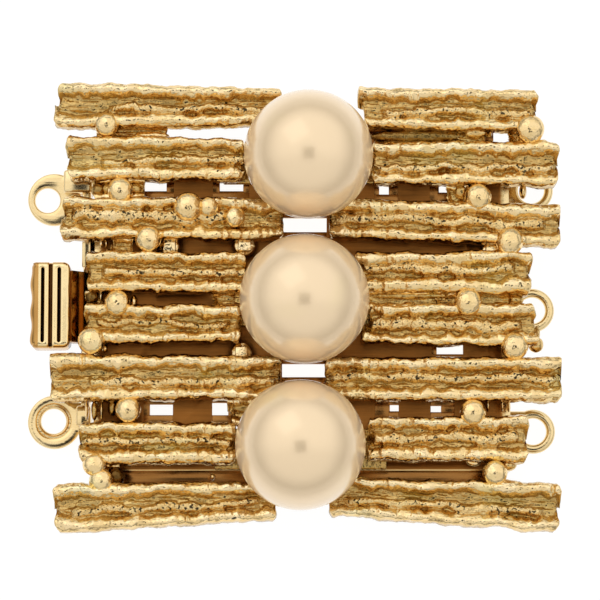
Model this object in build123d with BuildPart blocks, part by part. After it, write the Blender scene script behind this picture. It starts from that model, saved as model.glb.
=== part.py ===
from build123d import *
from collections import namedtuple
import math
import os

# A multi-strand box clasp lying on its back. +X runs to the fixed rings, +Y across the strands, +Z up to the
# pearls. The origin is under the middle of the clasp's length, on the surface that it rests on. Reaches and
# shares along X are counted from the pearl column. All sizes are in millimetres.

# Field of bark bars
half_length = 16.0
bar_width = 2.9
bar_gap = 0.625
bar_height = 1.85
bar_lift = 0.15
ball_diameter = 1.35
web_bite = 0.41
web_lift = 0.2

# Pearls and their seats
pearl_diameter = 8.0
pearl_gap = 0.06
cup_diameter = 4.6
cup_floor = 0.3
arm_width = 2.6
arm_reach = 5.4
arm_thickness = 0.5
peg_diameter = 0.9
peg_length = 3.2
peg_gap = 0.05

# Posts that carry the casting on the plate behind it
post_diameter = 0.9
post_gap = 0.05
seat_gap = 0.05

# Plate, end wall and box
metal = 0.4
mouth_setback = 2.8
rear_setback = 3.1
plate_inset = 0.9
body_height = 3.0
box_inset = 4.9
box_reach = 2.0
lip_depth = 0.4
notch_gap = 0.35

# Tongue
leaf_metal = 0.5
slide_gap = 0.1
side_gap = 0.2
fold_radius = 0.3
fold_gap = 0.06
end_plate_gap = 0.3
end_plate_metal = 0.55
end_plate_margin = 1.35
end_plate_height = 1.9
ring_tab_width = 1.25

# Strand rings
tongue_ring_diameter = 3.2
tongue_ring_hole = 1.5
tongue_ring_offset = 2.325
tongue_ring_lean = 0.25
tongue_ring_pitch = 7.05
fixed_ring_diameter = 2.8
fixed_ring_hole = 1.65
fixed_ring_offset = 1.55
fixed_ring_pitch = 7.7
fixed_tab_width = 2.0

# Lever
spring_metal = 0.35
lever_setback = 0.4
catch_gap = 0.1
catch_setback = 0.15
neck_half_width = 2.25
neck_length = 1.4
neck_drop = 0.45
thumb_length = 2.45
thumb_half_width = 2.6
thumb_room = 0.95
thumb_height = 2.1
thumb_corner = 0.45
thumb_rounding = 0.25
groove_width = 0.34
groove_depth = 0.45
groove_pitch = 0.64

# One row for each bark bar. Outer and inner ends are shares of half_length, the places of the middle line at
# both ends are shares of half_width, and the breadths there are shares of bar_width.
Bar = namedtuple("Bar", "side outer inner outer_place inner_place outer_breadth inner_breadth")
bars = [
    Bar(-1, 0.969, 0.094, 0.890, 0.868, 1.02, 0.80),
    Bar(-1, 0.925, 0.238, 0.655, 0.650, 1.00, 0.96),
    Bar(-1, 0.944, 0.084, 0.385, 0.380, 0.97, 0.92),
    Bar(-1, 0.844, 0.231, 0.145, 0.140, 0.93, 0.90),
    Bar(-1, 0.852, 0.250, -0.085, -0.088, 0.90, 0.84),
    Bar(-1, 0.990, 0.095, -0.328, -0.325, 1.06, 0.97),
    Bar(-1, 0.870, 0.269, -0.615, -0.617, 0.95, 0.92),
    Bar(-1, 0.963, 0.113, -0.905, -0.866, 1.10, 0.84),
    Bar(1, 0.906, 0.228, 0.868, 0.878, 0.96, 0.90),
    Bar(1, 0.990, 0.269, 0.628, 0.634, 1.00, 0.97),
    Bar(1, 1.000, 0.100, 0.350, 0.385, 0.95, 0.90),
    Bar(1, 0.880, 0.238, 0.138, 0.142, 0.97, 0.92),
    Bar(1, 0.882, 0.263, -0.095, -0.092, 0.92, 0.88),
    Bar(1, 1.000, 0.082, -0.335, -0.330, 0.99, 0.96),
    Bar(1, 0.862, 0.250, -0.600, -0.597, 1.02, 0.94),
    Bar(1, 0.982, 0.100, -0.897, -0.852, 1.08, 0.84),
]

# Sections along a bar, from its outer to its inner end: the place as a share of the bar's length, how far the
# middle line drifts and how broad and high the bark is, as shares of bar_width and bar_height.
Station = namedtuple("Station", "along drift breadth height")
stations = [
    Station(0.00, 0.00, 0.93, 0.90),
    Station(0.14, 0.02, 1.02, 1.00),
    Station(0.36, -0.03, 0.95, 0.92),
    Station(0.62, 0.03, 1.02, 0.98),
    Station(0.84, -0.01, 0.96, 0.91),
    Station(1.00, 0.00, 0.98, 0.94),
]

# Outline of the bark: two edge ridges, two troughs and a low middle ridge, as shares of the bar's breadth and
# height.
Crest = namedtuple("Crest", "across up")
bark_outline = [
    Crest(-0.42, 0.00),
    Crest(0.42, 0.00),
    Crest(0.50, 0.40),
    Crest(0.48, 0.84),
    Crest(0.38, 1.00),
    Crest(0.29, 0.88),
    Crest(0.20, 0.56),
    Crest(0.09, 0.74),
    Crest(-0.07, 0.76),
    Crest(-0.19, 0.55),
    Crest(-0.29, 0.87),
    Crest(-0.38, 1.00),
    Crest(-0.48, 0.84),
    Crest(-0.50, 0.40),
]

# Cast balls that bridge the gaps or sit on a bar: places as shares of half_length and half_width, the size as
# a share of ball_diameter and the middle's level as a share of bar_height.
Ball = namedtuple("Ball", "along across size up")
balls = [
    Ball(-0.774, 0.785, 0.85, 0.70),
    Ball(-0.721, 0.508, 1.00, 0.72),
    Ball(-0.611, 0.272, 0.95, 0.70),
    Ball(-0.738, 0.022, 1.00, 0.72),
    Ball(-0.829, -0.180, 1.08, 0.72),
    Ball(-0.685, -0.470, 1.08, 0.70),
    Ball(-0.804, -0.710, 1.00, 0.70),
    Ball(-0.803, -0.779, 1.00, 0.66),
    Ball(-0.455, 0.432, 1.05, 0.80),
    Ball(-0.377, 0.432, 0.75, 0.80),
    Ball(-0.271, 0.387, 0.90, 0.76),
    Ball(0.880, 0.760, 1.00, 0.72),
    Ball(0.679, 0.492, 1.00, 0.72),
    Ball(0.799, 0.258, 1.10, 0.72),
    Ball(0.633, 0.022, 1.00, 0.72),
    Ball(0.819, -0.208, 1.10, 0.72),
    Ball(0.654, -0.462, 1.10, 0.72),
    Ball(0.738, -0.745, 1.10, 0.72),
]

# Posts under the gaps between bars: places as shares of half_length and half_width.
Post = namedtuple("Post", "along across")
posts = [
    Post(-0.530, 0.265),
    Post(-0.235, 0.268),
    Post(-0.245, -0.212),
    Post(0.660, -0.667),
    Post(0.735, 0.240),
    Post(-0.690, 0.660),
    Post(-0.690, -0.650),
    Post(0.600, 0.640),
]

# Pearls, from the top of the column to its foot: places as shares of half_length and half_width.
Pearl = namedtuple("Pearl", "along across")
pearl_rows = [
    Pearl(0.0156, 0.6383),
    Pearl(0.0000, 0.0000),
    Pearl(-0.0156, -0.6383),
]

# See-through windows of the plate: middle and size along X as shares of half_length, along Y of
# plate_half_width.
Window = namedtuple("Window", "along across length width")
windows = [
    Window(0.000, 0.436, 0.175, 0.223),
    Window(0.000, -0.436, 0.175, 0.223),
    Window(0.561, -0.252, 0.122, 0.078),
]

# Windows beside the box, the same on both sides: middle and size along X as shares of half_length, along Y as
# shares of box_inset, counted from the box's edge.
SideWindow = namedtuple("SideWindow", "along across length width")
side_windows = [
    SideWindow(-0.572, 0.286, 0.115, 0.471),
    SideWindow(-0.289, 0.286, 0.144, 0.471),
    SideWindow(0.322, 0.286, 0.094, 0.471),
    SideWindow(0.541, 0.286, 0.094, 0.471),
]

# Breadths and levels worked out from the sizes above
half_width = (bar_width + bar_gap) * len(bars) / 4
web_diameter = bar_gap + 2 * web_bite
plate_half_width = half_width - bar_width - plate_inset
box_half_width = plate_half_width - box_inset
leaf_half_width = box_half_width - metal - side_gap
lever_half_width = leaf_half_width - lever_setback
notch_half_width = neck_half_width + notch_gap
end_plate_half_width = tongue_ring_pitch + end_plate_margin
plate_top = body_height
plate_underside = body_height - metal
lip_underside = plate_underside - lip_depth
leaf_floor = metal + slide_gap
bar_base = plate_top + bar_lift
cup_base = plate_top + seat_gap
pearl_radius = pearl_diameter / 2
pearl_centre = cup_base + cup_floor + pearl_radius
seat_radius = pearl_radius + pearl_gap
cup_height = cup_floor + pearl_radius - math.sqrt(seat_radius**2 - (cup_diameter / 2) ** 2)
catch_top = lip_underside - catch_gap
fold_outer_radius = fold_radius + leaf_metal
fold_z = leaf_floor + fold_outer_radius
thumb_underside = leaf_floor + leaf_metal + thumb_room
neck_top = thumb_underside + thumb_height - neck_drop

# Places along the clasp worked out from the sizes above
mouth_reach = half_length - mouth_setback
tongue_ring_reach = mouth_reach + end_plate_gap + end_plate_metal / 2 + tongue_ring_offset
column_x = (tongue_ring_reach + tongue_ring_lean + tongue_ring_diameter / 2 - half_length) / 2
mouth_x = column_x - mouth_reach
box_rear_x = column_x - box_reach
end_wall_x = column_x + half_length - rear_setback
fold_x = box_rear_x - metal - side_gap - fold_outer_radius
plate_length = end_wall_x - mouth_x
plate_middle = (end_wall_x + mouth_x) / 2
end_plate_x = mouth_x - end_plate_gap - end_plate_metal / 2
catch_x = mouth_x + metal + catch_setback
thumb_inner_x = mouth_x - neck_length
thumb_middle_x = thumb_inner_x - thumb_length / 2

rows = (1, 0, -1)
tongue_ring_places = [
    (column_x - tongue_ring_reach - row * tongue_ring_lean, row * tongue_ring_pitch) for row in rows
]
fixed_ring_places = [(end_wall_x + fixed_ring_offset, row * fixed_ring_pitch) for row in rows]


def at(along, across):
    """Gives the place in plan of a share of the field's half length and half width."""
    return column_x + half_length * along, half_width * across


pearl_places = [at(pearl.along, pearl.across) for pearl in pearl_rows]


def bark_points(middle, breadth, height):
    """Gives the corners of the bark's outline across a bar, standing on the bars' base level."""
    return [(middle + breadth * crest.across, bar_base + height * crest.up) for crest in bark_outline]


# Bark bars, lofted one by one
bark_bars = []
for number, bar in enumerate(bars):
    turned = number % 2 == 0
    with BuildPart() as bark_bar:
        for station in stations:
            share = 1 - station.along if turned else station.along
            x, place = at(
                bar.side * (bar.outer + (bar.inner - bar.outer) * share),
                bar.outer_place + (bar.inner_place - bar.outer_place) * share,
            )
            breadth = bar_width * (bar.outer_breadth + (bar.inner_breadth - bar.outer_breadth) * share)
            corners = bark_points(
                place + station.drift * bar_width, breadth * station.breadth, bar_height * station.height
            )
            with BuildSketch(Plane.YZ.offset(x)):
                with BuildLine():
                    Polyline(*corners, close=True)
                make_face()
        loft(ruled=True)
    bark_bars.append(bark_bar.part)

# Cast balls and the posts that go down through the plate, each with a short web between the bars
bark_joins = []
for ball in balls:
    place = at(ball.along, ball.across)
    ball_z = bar_base + bar_height * ball.up
    with BuildPart() as cast_ball:
        with Locations((*place, ball_z)):
            Sphere(radius=ball_diameter * ball.size / 2)
        with BuildSketch(Plane.XY.offset(bar_base + web_lift)):
            with Locations(place):
                Circle(web_diameter / 2)
        extrude(amount=ball_z - bar_base - web_lift)
    bark_joins.append(cast_ball.part)
for post in posts:
    place = at(post.along, post.across)
    with BuildPart() as cast_post:
        with BuildSketch(Plane.XY.offset(plate_underside)):
            with Locations(place):
                Circle(post_diameter / 2)
        extrude(amount=bar_base + bar_height / 2 - plate_underside)
        with BuildSketch(Plane.XY.offset(bar_base + web_lift)):
            with Locations(place):
                Circle(web_diameter / 2)
        extrude(amount=bar_height / 2 - web_lift)
    bark_joins.append(cast_post.part)

# Cups under the pearls, each on an arm between the bars of both sides
pearl_cups = []
for place in pearl_places:
    with BuildPart() as pearl_cup:
        with BuildSketch(Plane.XY.offset(cup_base)):
            with Locations(place):
                Rectangle(2 * arm_reach, arm_width)
        extrude(amount=arm_thickness)
        with BuildSketch(Plane.XY.offset(cup_base)):
            with Locations(place):
                Circle(cup_diameter / 2)
        extrude(amount=cup_height)
    pearl_cups.append(pearl_cup.part)

# Front casting: bars, balls, posts and cups in one, hollowed for the pearls, with a peg for each pearl
with BuildPart() as bark_casting:
    add(bark_bars + bark_joins + pearl_cups)
    with Locations(*[(*place, pearl_centre) for place in pearl_places]):
        Sphere(radius=seat_radius, mode=Mode.SUBTRACT)
    with BuildSketch(Plane.XY.offset(cup_base)):
        with Locations(*pearl_places):
            Circle(peg_diameter / 2)
    extrude(amount=cup_floor + peg_length)

# Imitation pearls, each half drilled from below for its peg
pearls = []
for place in pearl_places:
    with BuildPart() as pearl:
        with Locations((*place, pearl_centre)):
            Sphere(radius=pearl_radius)
        with BuildSketch(Plane.XY.offset(cup_base)):
            with Locations(place):
                Circle(peg_diameter / 2 + peg_gap)
        extrude(amount=cup_floor + peg_length + peg_gap, mode=Mode.SUBTRACT)
    pearls.append(pearl)

# Plate with turned-down edges and end wall, the box for the tongue, and the fixed rings
with BuildPart() as clasp_box:
    with BuildSketch():
        with Locations((plate_middle, 0)):
            Rectangle(plate_length, 2 * plate_half_width)
    extrude(amount=body_height)
    with BuildSketch():
        with Locations((plate_middle - metal, 0)):
            Rectangle(plate_length, 2 * (plate_half_width - metal))
    extrude(amount=plate_underside, mode=Mode.SUBTRACT)
    with BuildSketch():
        with Locations(((mouth_x + box_rear_x) / 2, 0)):
            Rectangle(box_rear_x - mouth_x, 2 * box_half_width)
    extrude(amount=plate_top)
    with BuildSketch(Plane.XY.offset(metal)):
        with Locations(((mouth_x + box_rear_x) / 2, 0)):
            Rectangle(box_rear_x - mouth_x - 2 * metal, 2 * (box_half_width - metal))
    extrude(amount=plate_underside - metal, mode=Mode.SUBTRACT)
    with BuildSketch(Plane.XY.offset(metal)):
        with Locations((mouth_x + metal / 2, 0)):
            Rectangle(metal, 2 * (box_half_width - metal))
    extrude(amount=lip_underside - metal, mode=Mode.SUBTRACT)
    with BuildSketch(Plane.XY.offset(metal)):
        with Locations((mouth_x + metal / 2, 0)):
            Rectangle(metal, 2 * notch_half_width)
    extrude(amount=plate_underside - metal, mode=Mode.SUBTRACT)
    with BuildSketch():
        for window in windows:
            with Locations((column_x + half_length * window.along, plate_half_width * window.across)):
                Rectangle(half_length * window.length, plate_half_width * window.width)
        for window in side_windows:
            window_y = box_half_width + box_inset * window.across
            for side in (1, -1):
                with Locations((column_x + half_length * window.along, side * window_y)):
                    Rectangle(half_length * window.length, box_inset * window.width)
    extrude(amount=plate_top, mode=Mode.SUBTRACT)
    with BuildSketch(Plane.XY.offset(plate_underside)):
        with Locations(*[at(post.along, post.across) for post in posts]):
            Circle(post_diameter / 2 + post_gap)
    extrude(amount=metal, mode=Mode.SUBTRACT)
    with BuildSketch(Plane.XY.offset(leaf_floor)):
        with Locations(*fixed_ring_places):
            Circle(fixed_ring_diameter / 2)
        for x, y in fixed_ring_places:
            with Locations(((end_wall_x - metal / 2 + x) / 2, y)):
                Rectangle(x - end_wall_x + metal / 2, fixed_tab_width)
    extrude(amount=leaf_metal)
    with BuildSketch(Plane.XY.offset(leaf_floor)):
        with Locations(*fixed_ring_places):
            Circle(fixed_ring_hole / 2)
    extrude(amount=leaf_metal, mode=Mode.SUBTRACT)

# Tongue: the leaf in the box with its folded end, the end plate in front of the mouth, and its rings
with BuildPart() as tongue:
    with BuildSketch(Plane.XY.offset(leaf_floor)):
        with Locations(((end_plate_x + fold_x) / 2, 0)):
            Rectangle(fold_x - end_plate_x, 2 * leaf_half_width)
        with Locations((end_plate_x, 0)):
            Rectangle(end_plate_metal, 2 * end_plate_half_width)
        for x, y in tongue_ring_places:
            with Locations(((x + end_plate_x) / 2, y + (tongue_ring_diameter - ring_tab_width) / 2)):
                Rectangle(end_plate_x - x, ring_tab_width)
        with Locations(*tongue_ring_places):
            Circle(tongue_ring_diameter / 2)
        with Locations(*tongue_ring_places):
            Circle(tongue_ring_hole / 2, mode=Mode.SUBTRACT)
    extrude(amount=leaf_metal)
    with BuildSketch(Plane.XY.offset(leaf_floor)):
        for side in (1, -1):
            with Locations((end_plate_x, side * (end_plate_half_width + notch_half_width) / 2)):
                Rectangle(end_plate_metal, end_plate_half_width - notch_half_width)
    extrude(amount=end_plate_height)
    with BuildSketch(Plane.XZ):
        with Locations((fold_x, fold_z)):
            Circle(fold_outer_radius)
            Circle(fold_radius, mode=Mode.SUBTRACT)
        with Locations((fold_x - fold_outer_radius / 2, fold_z)):
            Rectangle(fold_outer_radius, 2 * fold_outer_radius, mode=Mode.SUBTRACT)
    extrude(amount=lever_half_width, both=True)

# Lever: the spring leaf that turns in the tongue's fold, its neck, and the ribbed thumb piece
with BuildPart() as lever:
    with BuildSketch(Plane.XZ):
        with BuildLine():
            Polyline(
                (fold_x, fold_z - spring_metal / 2),
                (fold_x, fold_z + spring_metal / 2),
                (catch_x, catch_top),
                (catch_x, catch_top - spring_metal),
                close=True,
            )
        make_face()
        with Locations((fold_x, fold_z)):
            Circle(fold_radius - fold_gap)
    extrude(amount=lever_half_width, both=True)
    with BuildSketch(Plane.XZ):
        with BuildLine():
            Polyline(
                (catch_x + spring_metal, catch_top),
                (mouth_x - spring_metal, catch_top),
                (thumb_inner_x, neck_top),
                (thumb_middle_x, thumb_underside + thumb_height / 2),
                (thumb_inner_x, thumb_underside),
                (mouth_x - spring_metal, catch_top - spring_metal),
                (catch_x + spring_metal, catch_top - spring_metal),
                close=True,
            )
        make_face()
    extrude(amount=neck_half_width, both=True)
    with BuildSketch(Plane.XY.offset(thumb_underside)):
        with Locations((thumb_middle_x, 0)):
            RectangleRounded(thumb_length, 2 * thumb_half_width, thumb_corner)
    extrude(amount=thumb_height)
    thumb_top = lever.faces().sort_by(Axis.Z)[-1]
    fillet(thumb_top.edges(), radius=thumb_rounding)
    with BuildSketch(Plane.XZ):
        with Locations((thumb_middle_x, thumb_underside + thumb_height)):
            with GridLocations(groove_pitch, groove_pitch, 3, 1):
                Rectangle(groove_width, 2 * groove_depth)
    extrude(amount=thumb_half_width, both=True, mode=Mode.SUBTRACT)

pieces = {
    "bark_casting": bark_casting,
    "pearl_1": pearls[0],
    "pearl_2": pearls[1],
    "pearl_3": pearls[2],
    "clasp_box": clasp_box,
    "tongue": tongue,
    "lever": lever,
}
os.makedirs("parts", exist_ok=True)
for label, piece in pieces.items():
    piece.part.label = label
    export_step(piece.part, "parts/" + label + ".step")
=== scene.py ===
import math

import bmesh
import bpy
import numpy as np
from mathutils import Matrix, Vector


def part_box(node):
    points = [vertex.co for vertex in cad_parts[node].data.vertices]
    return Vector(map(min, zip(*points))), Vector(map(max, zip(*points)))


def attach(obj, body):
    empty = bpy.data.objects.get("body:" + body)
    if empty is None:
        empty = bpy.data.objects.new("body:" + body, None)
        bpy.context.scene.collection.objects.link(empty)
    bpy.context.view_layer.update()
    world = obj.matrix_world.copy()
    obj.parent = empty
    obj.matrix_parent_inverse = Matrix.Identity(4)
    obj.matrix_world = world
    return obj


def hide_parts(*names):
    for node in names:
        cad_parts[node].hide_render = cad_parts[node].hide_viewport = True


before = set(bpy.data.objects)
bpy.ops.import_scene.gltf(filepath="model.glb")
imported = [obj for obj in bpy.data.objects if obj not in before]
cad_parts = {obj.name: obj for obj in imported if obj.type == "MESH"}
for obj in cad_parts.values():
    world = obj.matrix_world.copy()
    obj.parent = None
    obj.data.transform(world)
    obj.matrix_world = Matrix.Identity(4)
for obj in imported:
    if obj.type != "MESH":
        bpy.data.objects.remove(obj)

# Sizes in the dictionaries are in millimetres, counted in the clasp's own frame; mm turns them into metres.
mm = 0.001
scene = bpy.context.scene
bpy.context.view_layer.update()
column = 0.975  # x of the middle pearl


def addObject(name, data):
    made = bpy.data.objects.new(name, data)
    scene.collection.objects.link(made)
    return made


# Camera where the photograph was taken from: almost straight above, leaning a little to the front
cameraSettings = {"place": (0.698, -23.061, 205.966), "tilt": math.radians(6.6), "lens": 195.1}
camera = addObject("overheadCamera", bpy.data.cameras.new("overheadCamera"))
camera.location = Vector(cameraSettings["place"]) * mm
camera.rotation_euler = (cameraSettings["tilt"], 0, 0)
camera.data.lens = cameraSettings["lens"]
camera.data.clip_start = 0.005
scene.camera = camera
print("camera placed")


# Node trees, for materials and geometry alike, are written as sums of Formula values
class Formula:
    def __init__(self, tree, socket):
        self.tree = tree
        self.socket = socket

    def __add__(self, other):
        return calc(self.tree, "ADD", self, other)

    def __sub__(self, other):
        return calc(self.tree, "SUBTRACT", self, other)

    def __rsub__(self, other):
        return calc(self.tree, "SUBTRACT", other, self)

    def __mul__(self, other):
        return calc(self.tree, "MULTIPLY", self, other)

    def __truediv__(self, other):
        return calc(self.tree, "DIVIDE", self, other)

    __radd__ = __add__
    __rmul__ = __mul__


def addNode(tree, kind, values=(), output=0, **settings):
    node = tree.nodes.new(kind)
    for name, value in settings.items():
        setattr(node, name, value)
    for key, value in dict(values).items():
        if isinstance(value, Formula):
            tree.links.new(value.socket, node.inputs[key])
        else:
            node.inputs[key].default_value = value
    return Formula(tree, node.outputs[output]) if len(node.outputs) else node


def calc(tree, operation, *values):
    return addNode(tree, "ShaderNodeMath", enumerate(values), operation=operation)


def highest(first, *others):
    for other in others:
        first = calc(first.tree, "MAXIMUM", first, other)
    return first


def sizeOf(value):
    return calc(value.tree, "ABSOLUTE", value)


def vectorOf(tree, x, y, z):
    return addNode(tree, "ShaderNodeCombineXYZ", {0: x, 1: y, 2: z})


def stretch(vector, factors):
    return addNode(vector.tree, "ShaderNodeVectorMath", {0: vector, 1: factors}, operation="MULTIPLY")


def split(vector):
    return [addNode(vector.tree, "ShaderNodeSeparateXYZ", {0: vector}, axis) for axis in range(3)]


def blend(share, first, second):
    return first + (second - first) * share


def remap(value, fromLow, fromHigh, toLow, toHigh, kind="SMOOTHSTEP"):
    limits = enumerate((value, fromLow, fromHigh, toLow, toHigh))
    return addNode(value.tree, "ShaderNodeMapRange", limits, interpolation_type=kind)


def ripple(vector, scale=1.0, detail=2.0, rough=0.5):  # noise between about -1 and 1
    inputs = {"Vector": vector, "Scale": scale, "Detail": detail, "Roughness": rough}
    return addNode(vector.tree, "ShaderNodeTexNoise", inputs) * 2.6 - 1.3


def throughPoints(value, points):  # a Float Curve with straight runs between its points
    result = addNode(value.tree, "ShaderNodeFloatCurve", {"Value": value})
    mapping = result.socket.node.mapping
    for place, level in points[1:-1]:
        mapping.curves[0].points.new(place, level)
    for point, (place, level) in zip(mapping.curves[0].points, points):
        point.location = (place, level)
        point.handle_type = "VECTOR"
    mapping.update()
    return result


def pushOut(geometry, distance):  # moves the surface along its normals
    tree = geometry.tree
    normal = addNode(tree, "GeometryNodeInputNormal")
    offset = addNode(tree, "ShaderNodeVectorMath", {0: normal, "Scale": distance}, operation="SCALE")
    return addNode(tree, "GeometryNodeSetPosition", {"Geometry": geometry, "Offset": offset})


def keepValue(geometry, name, value):
    return addNode(geometry.tree, "GeometryNodeStoreNamedAttribute",
                   {"Geometry": geometry, "Name": name, "Value": value}, data_type="FLOAT", domain="POINT")


def storedValue(tree, name, kind="FLOAT"):
    return addNode(tree, "GeometryNodeInputNamedAttribute", {"Name": name}, data_type=kind)


def newGeometryTree(name, fields):
    tree = bpy.data.node_groups.new(name, "GeometryNodeTree")
    tree.interface.new_socket("Geometry", in_out="INPUT", socket_type="NodeSocketGeometry")
    tree.interface.new_socket("Geometry", in_out="OUTPUT", socket_type="NodeSocketGeometry")
    for field in fields:
        tree.interface.new_socket(field, in_out="INPUT", socket_type="NodeSocketFloat")
    inputs = tree.nodes.new("NodeGroupInput").outputs
    return tree, {socket.name: Formula(tree, socket) for socket in inputs if socket.name}


def finishTree(geometry, material):
    real = addNode(geometry.tree, "GeometryNodeRealizeInstances", {0: geometry})
    dressed = addNode(geometry.tree, "GeometryNodeSetMaterial", {"Geometry": real, "Material": material})
    addNode(geometry.tree, "NodeGroupOutput", {0: dressed})


def grow(tree, mesh, values):  # the plain mesh that a geometry tree makes from a mesh
    holder = addObject("work", mesh)
    modifier = holder.modifiers.new("grow", "NODES")
    modifier.node_group = tree
    for item in tree.interface.items_tree:
        if item.in_out == "INPUT" and item.name in values:
            modifier[item.identifier] = float(values[item.name])
    shown = holder.evaluated_get(bpy.context.evaluated_depsgraph_get())
    grown = bpy.data.meshes.new_from_object(shown)
    bpy.data.objects.remove(holder)
    return grown


# Materials
def newMaterial(name, metal=1.0):
    material = bpy.data.materials.new(name)
    material.use_nodes = True
    tree = material.node_tree
    place = addNode(tree, "ShaderNodeTexCoord", output="Object")
    inputs = tree.nodes["Principled BSDF"].inputs
    inputs["Metallic"].default_value = metal
    return material, tree, inputs, place


def shades(value, stops):
    result = addNode(value.tree, "ShaderNodeValToRGB", {0: value})
    ramp = result.socket.node.color_ramp
    while len(ramp.elements) < len(stops):
        ramp.elements.new(0.5)
    for element, (place, colour) in zip(ramp.elements, stops):
        element.position = place
        element.color = (*colour, 1)
    return result


def plug(formula, socket):
    formula.tree.links.new(formula.socket, socket)


def tinted(first, second, share):  # one colour multiplied by another
    return addNode(first.tree, "ShaderNodeMix", {0: share, 6: first, 7: second}, 2,
                   data_type="RGBA", blend_type="MULTIPLY")


def pieceValue(tree, name):  # a number stored on the mesh's points
    return addNode(tree, "ShaderNodeAttribute", output=2, attribute_name=name)


def varyRoughness(inputs, place, scale, limits):
    plug(remap(ripple(place, scale, 2), -0.8, 0.8, *limits), inputs["Roughness"])


def addBump(inputs, height, look):
    bump = {"Strength": look["bump"], "Distance": look["bumpDepth"] * mm, "Height": height}
    plug(addNode(height.tree, "ShaderNodeBump", bump), inputs["Normal"])


castGoldSettings = {
    # tones: gold from painted shade, low, to painted highlight, high, picked by the painted light level
    # stored on each piece
    "tones": [(0.0, (0.08, 0.040, 0.010)), (0.16, (0.20, 0.120, 0.034)), (0.40, (0.485, 0.34, 0.118)),
              (0.62, (0.69, 0.51, 0.21)), (0.88, (0.91, 0.73, 0.375)), (1.0, (1.0, 0.86, 0.53))],
    "cloud": 0.10, "cloudScale": 1300,
    "patches": [(0.15, (1.0, 0.91, 0.86)), (0.5, (1, 1, 1)), (0.85, (0.97, 1.0, 0.86))],
    "patchShare": 0.9, "patchScale": 380, "roughness": (0.07, 0.17), "roughScale": 1500,
    "pitRange": (0.70, 0.78), "pitDark": 0.10, "pitDepth": 0.05, "pitScale": 1900,
    "speckRange": (0.16, 0.36), "speckDark": 0.08, "speckScale": 5200,
    "dimples": 0.028, "dimpleScale": 3100, "grit": 0.036, "gritScale": 6200, "bump": 1.0, "bumpDepth": 1.0,
}


def makeCastGold():
    look = castGoldSettings
    material, tree, inputs, place = newMaterial("castGold")
    # painted light level stored on the piece's points
    crest = pieceValue(tree, "crest")
    grit = pieceValue(tree, "grit")
    level = crest + ripple(place, look["cloudScale"], 3, 0.6) * look["cloud"]
    patches = shades(ripple(place, look["patchScale"], 2), look["patches"])
    # painted shade in small pits, which the bump also dents; painted dark reflections as near-black specks on
    # the grainy middle ridge
    pits = remap(ripple(place, look["pitScale"], 1), *look["pitRange"], 1.0, look["pitDark"])
    specks = ripple(place, look["speckScale"], 1) * grit
    dark = pits * remap(specks, *look["speckRange"], 1.0, look["speckDark"])
    colour = tinted(shades(level, look["tones"]), patches, look["patchShare"])
    plug(tinted(colour, vectorOf(tree, dark, dark, dark), 1.0), inputs["Base Color"])
    varyRoughness(inputs, place, look["roughScale"], look["roughness"])
    height = ripple(place, look["dimpleScale"], 2) * look["dimples"]
    height = height + ripple(place, look["gritScale"], 2, 0.6) * grit * look["grit"] + pits * look["pitDepth"]
    addBump(inputs, height, look)
    return material


sheetGoldSettings = {
    "streakScales": (300.0, 5200.0, 5200.0), "cloudScale": 240, "level": 0.85, "cloud": 0.15, "streaks": 0.12,
    # painted shade on the plate's face under the bars: its level, cloud and extra roughness, and where the
    # ends and sides stay unshaded
    "paintedShadeLevel": 0.26, "paintedShadeCloud": 0.16, "paintedShadeRough": 0.2, "bump": 0.6, "bumpDepth": 0.004,
    "plateMiddle": 0.75, "unshadedX": (12.4, 12.9), "unshadedY": (10.16, 10.32), "unshadedShareY": 0.8,
    # the low stops of the plate tones give the dark brown of the painted shade
    "plateTones": [(0.0, (0.04, 0.012, 0.003)), (0.4, (0.40, 0.160, 0.034)), (0.6, (0.80, 0.56, 0.24)),
                   (1.0, (0.96, 0.77, 0.44))],
    # recess tones: gold darkened as painted shade, for sheet lying in the shade between the bars
    "recessShadeTones": [(0.0, (0.02, 0.006, 0.002)), (0.7, (0.22, 0.090, 0.021)), (1.0, (0.44, 0.21, 0.060))],
}


def makeSheetGold(name, tones, roughness, shadeHeights):
    look = sheetGoldSettings
    material, tree, inputs, place = newMaterial(name)
    streaks = ripple(stretch(place, look["streakScales"]), 1.0, 2, 0.6)
    cloud = ripple(place, look["cloudScale"], 3, 0.55)
    tone = cloud * look["cloud"] + streaks * look["streaks"] + look["level"]
    polish = remap(streaks + cloud, -1.2, 1.2, *roughness)
    if shadeHeights:  # heights between which painted shade sets in on the plate's face, behind the casting
        x, y, z = split(stretch(place, (1000.0, 1000.0, 1000.0)))
        ends = remap(sizeOf(x - look["plateMiddle"]), *look["unshadedX"], 0.0, 1.0)
        sides = remap(sizeOf(y), *look["unshadedY"], 0.0, look["unshadedShareY"])
        unshaded = highest(ends, sides, remap(z, *shadeHeights, 1.0, 0.0))
        # painted shade: a dark brown tone and more roughness on the plate's face, not on its ends, sides or
        # lower sheet
        paintedShade = streaks * look["streaks"] + cloud * look["paintedShadeCloud"] + look["paintedShadeLevel"]
        tone = blend(unshaded, paintedShade, tone)
        polish = blend(unshaded, polish + look["paintedShadeRough"], polish)
    plug(shades(tone, look[tones]), inputs["Base Color"])
    plug(polish, inputs["Roughness"])
    addBump(inputs, streaks, look)
    return material


polishedGoldSettings = {
    # tones: gold from painted shade, low, to painted highlight, high, picked by the painted light level
    # stored on each piece
    "tones": [(0.0, (0.012, 0.005, 0.002)), (0.3, (0.30, 0.11, 0.02)), (0.62, (0.86, 0.54, 0.18)),
              (1.0, (1.0, 0.84, 0.50))],
    "cloud": 0.05, "cloudScale": 500, "roughness": (0.10, 0.2), "roughScale": 900,
    "bump": 0.5, "bumpDepth": 0.004, "bumpScale": 2600,
}


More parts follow.
